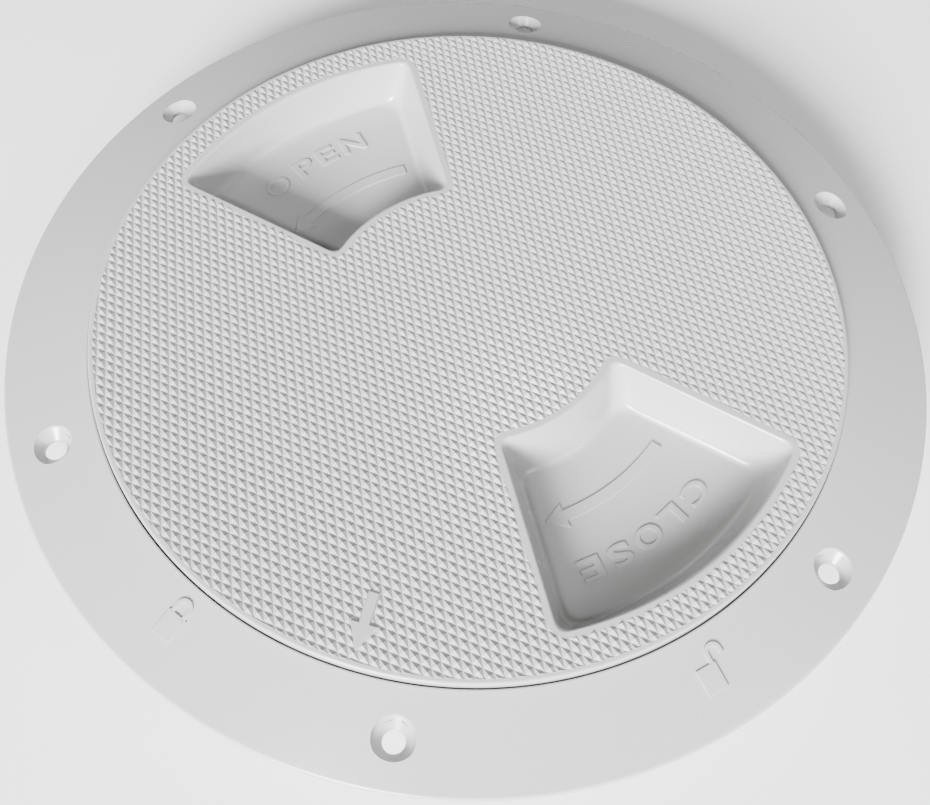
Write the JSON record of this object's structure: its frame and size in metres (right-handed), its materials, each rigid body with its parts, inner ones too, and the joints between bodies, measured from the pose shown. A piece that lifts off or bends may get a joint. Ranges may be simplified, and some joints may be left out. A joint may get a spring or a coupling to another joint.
{
  "type": "deck hatch",
  "caption": "Round twist-lock access hatch for a boat deck: countersunk mounting ring, lid with finger pockets and grip tread, and a sealing ring.",
  "frame": {"origin": "centre of the screw circle, on the hatch's axis, in the plane of the flange's underside, which lies on the deck", "axes": "+Z points out of the deck along the hatch's axis, -Y points to the screw hole between the two padlock marks"},
  "size_m": [0.25, 0.25, 0.0317],
  "materials": {
    "ring_plastic": "smooth semi-gloss moulded white",
    "lid_plastic": "semi-gloss moulded white with a pyramid tread on top",
    "seal_rubber": "matt black rubber"
  },
  "bodies": {
    "ring": {"mounting_ring": "ring_plastic"},
    "seal": {"lid_seal": "seal_rubber"},
    "lid": {"lid": "lid_plastic"}
  },
  "joints": [
    {"name": "lid_rise", "type": "slide", "parent": "ring", "child": "seal", "axis": [0, 0, 1], "range_m": [-0.00154, 0.00314]},
    {"name": "lid_turn", "type": "hinge", "parent": "seal", "child": "lid", "pos_m": [0, 0, 0], "axis": [0, 0, 1], "range_deg": [-23, 47]}
  ],
  "couplings": [
    {"joint": "lid_rise", "follows": "lid_turn", "m_per_rad": 0.0038197}
  ]
}
